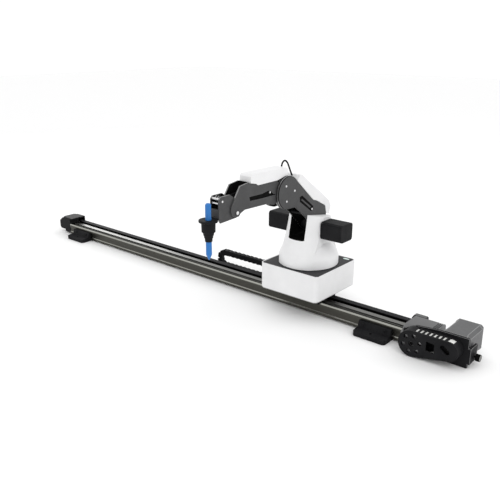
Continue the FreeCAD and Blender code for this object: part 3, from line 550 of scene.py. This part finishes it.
def add_link(bm, place):
    """One link: two cheeks that step at the middle, and a bar over and under. Sizes in mm."""
    low, high = CHAIN_Y
    half = CHAIN_HALF
    front, tail, bar = LINK * 0.56, LINK * 0.48, LINK * 0.97
    boxes = [
        ((0.0, low, -half), (front, low + CHEEK, half)),
        ((tail, low + 0.7, -half + 1.0), (LINK + LAP, low + 2.2, half - 1.0)),
        ((0.0, high - CHEEK, -half), (front, high, half)),
        ((tail, high - 2.2, -half + 1.0), (LINK + LAP, high - 0.7, half - 1.0)),
        ((0.8, low + 1.0, half - 2.0), (bar, high - 1.0, half - 0.5)),
        ((0.8, low + 1.0, 0.5 - half), (bar, high - 1.0, 2.0 - half)),
    ]
    for start, end in boxes:
        made = bmesh.ops.create_cube(bm, size=1.0)["verts"]
        for vert in made:
            local = Vector([start[axis] + (end[axis] - start[axis]) * (vert.co[axis] + 0.5)
                            for axis in range(3)])
            vert.co = place(local) * MM


def make_chain():
    """The lower run, the bend and the upper run, link by link."""
    low_box, high_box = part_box("chain_lower_run"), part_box("chain_upper_run")
    bend_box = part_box("chain_bend")
    z_low = (low_box[0][2] + low_box[1][2]) / 2 / MM
    z_high = (high_box[0][2] + high_box[1][2]) / 2 / MM
    radius = (z_high - z_low) / 2
    middle = (z_high + z_low) / 2
    bend_x = bend_box[1][0] / MM
    runs = (("chain_lower", z_low, low_box, "rail", "chain_middle"),
            ("chain_upper", z_high, high_box, "carriage", "chain_tail"))
    for name, z, box, held, moving in runs:
        bm = bmesh.new()
        start, end = box[0][0] / MM, box[1][0] / MM
        count = round((end - start) / LINK)
        pitch = (end - start - LAP) / count
        for index in range(count):
            left = start + index * pitch
            add_link(bm, lambda local: Vector((left + local.x * pitch / LINK, local.y, z + local.z)))
        piece = softened(new_mesh(name, bm), 0.0006)
        tied(piece, None, "black_plastic", name + "_run")
        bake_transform(piece)
    bm = bmesh.new()
    count = max(3, round(math.pi * radius / LINK))
    step = math.pi / count
    for index in range(count):
        turn = math.pi / 2 + (index + 0.5) * step

        def curl(local, turn=turn):
            out = Vector((math.cos(turn), 0, math.sin(turn)))
            along = Vector((-math.sin(turn), 0, math.cos(turn)))
            across = out * (radius + local.z) + along * (local.x - LINK / 2) * 0.93
            return Vector((bend_x + across.x, local.y, middle + across.z))
        add_link(bm, curl)
    tied(softened(new_mesh("chain_curl", bm), 0.0006), "chain_middle", "black_plastic", "chain_bend")


# ---- small pieces --------------------------------------------------------------------------------

LINER_BIG = (644.0, 30.0, 26.3)  # centre x, z and radius round the large pulley, in mm
LINER_SMALL = (722.0, 38.0, 18.3)  # the same round the motor pulley
LINER_Y = (-72.0, -47.4)
LINER_THICK = 1.2
CROSS_PIN = Vector((0, -38.5, 34.5))  # from the wrist's pivot
PIN_BORE, BUSH_RADIUS, RING_RADIUS = 2.0, 5.4, 5.0
BUSHES = ((-8.9, -2.4), (-0.4, 3.6), (5.6, 8.9))
RING_STARTS, RING_WIDTH = (-2.3, 3.7), 1.8


def make_cover_liner():
    """The pale strip under the windows along the top of the belt cover and round its small end."""
    big, small = LINER_BIG, LINER_SMALL
    lean = math.atan2(small[1] - big[1], small[0] - big[0])
    open_by = math.asin((big[2] - small[2]) / math.hypot(small[0] - big[0], small[1] - big[1]))
    tangent = math.pi / 2 + lean - open_by
    turns = [tangent - math.radians(8) * step for step in range(18)]
    route = [(big[0] + big[2] * math.cos(tangent), big[1] + big[2] * math.sin(tangent), tangent)]
    route += [(small[0] + small[2] * math.cos(turn), small[1] + small[2] * math.sin(turn), turn)
              for turn in turns]
    bm = bmesh.new()
    rings = []
    front, back = LINER_Y
    for x, z, turn in route:
        inner_x, inner_z = x - LINER_THICK * math.cos(turn), z - LINER_THICK * math.sin(turn)
        corners = [(x, front, z), (x, back, z), (inner_x, back, inner_z), (inner_x, front, inner_z)]
        rings.append([bm.verts.new(Vector(corner) * MM) for corner in corners])
    for first, second in zip(rings, rings[1:]):
        for index in range(4):
            after = (index + 1) % 4
            bm.faces.new((first[index], first[after], second[after], second[index]))
    bm.faces.new(rings[0][::-1])
    bm.faces.new(rings[-1])
    bmesh.ops.recalc_face_normals(bm, faces=bm.faces)
    tied(softened(new_mesh("cover_liner", bm), 0.0002), "rail", "belt_white")


def make_ring(name, body, slot, centre, axis, profile):
    """A turned piece: profile lists (along, radius) points, closed, round an axis through a centre."""
    count = 40
    side = axis.orthogonal().normalized()
    other = axis.cross(side)
    bm = bmesh.new()
    rings = []
    for index in range(count):
        turn = 2 * math.pi * index / count
        spoke = side * math.cos(turn) + other * math.sin(turn)
        rings.append([bm.verts.new((centre + axis * along + spoke * radius) * MM)
                      for along, radius in profile])
    for first, second in zip(rings, rings[1:] + rings[:1]):
        for index in range(len(profile)):
            after = (index + 1) % len(profile)
            bm.faces.new((first[index], first[after], second[after], second[index]))
    bmesh.ops.recalc_face_normals(bm, faces=bm.faces)
    return tied(softened(new_mesh(name, bm), 0.00025), body, slot)


def pivot(name):
    """A joint's place, in metres."""
    joints = frame["record"]["behaviour"]["joints"]
    return Vector(next(joint["pos_m"] for joint in joints if joint["name"] == name))


def make_wrist_bushes():
    """The bushes on the cross pin at the front of the wrist, with two bright rings between them."""
    centre = pivot("wrist_level") / MM + CROSS_PIN
    axis = Vector((1, 0, 0))
    for index, (start, end) in enumerate(BUSHES):
        make_ring(f"wrist_bush_{index}", "wrist", "black_metal", centre, axis,
                  [(start, PIN_BORE), (start, BUSH_RADIUS), (end, BUSH_RADIUS), (end, PIN_BORE)])
    for index, start in enumerate(RING_STARTS):
        end = start + RING_WIDTH
        make_ring(f"wrist_ring_{index}", "wrist", "silver", centre, axis,
                  [(start, PIN_BORE), (start, RING_RADIUS), (end, RING_RADIUS), (end, PIN_BORE)])


# ---- elbow cable ---------------------------------------------------------------------------------

CABLE_RADIUS = 0.0019
CABLE_ROUTE = [(39.6, 29.2), (36.6, 34.6), (33.5, 40.0), (28.0, 50.5), (23.5, 58.0), (18.0, 63.6),
               (11.5, 65.0), (6.0, 62.2), (3.2, 57.6), (1.9, 53.8)]  # y and z from the elbow's axis, in mm
CABLE_CREST = 5


def make_cable():
    """The lead that hooks over the elbow, in two halves that meet at its crest."""
    elbow = pivot("elbow")
    halves = (("cable_rear", CABLE_ROUTE[:CABLE_CREST + 1], "upper_arm", "elbow_link", ["elbow_cable"]),
              ("cable_front", CABLE_ROUTE[CABLE_CREST:], "elbow_link", "forearm", []))
    for name, route, first, second, replaced in halves:
        points = [elbow + Vector((0, across, up)) * MM for across, up in route]
        curve = bpy.data.curves.new(name, "CURVE")
        curve.dimensions = "3D"
        curve.bevel_depth, curve.bevel_resolution, curve.use_fill_caps = CABLE_RADIUS, 5, True
        curve.resolution_u = 10
        spline = curve.splines.new("BEZIER")
        spline.bezier_points.add(len(points) - 1)
        for knot, place in zip(spline.bezier_points, points):
            knot.co = place
            knot.handle_left_type = knot.handle_right_type = "AUTO"
        lead = bpy.data.objects.new(name, curve)
        bpy.context.scene.collection.objects.link(lead)
        piece = tied(applied(lead), None, "belt_rubber", *replaced)
        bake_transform(piece)


# ---- build ---------------------------------------------------------------------------------------

make_camera()
make_studio()
dress_nodes()
for name, finish in FINISHES.items():
    rounded(name, *finish)
make_chain()
make_cover_liner()
make_wrist_bushes()
make_cable()
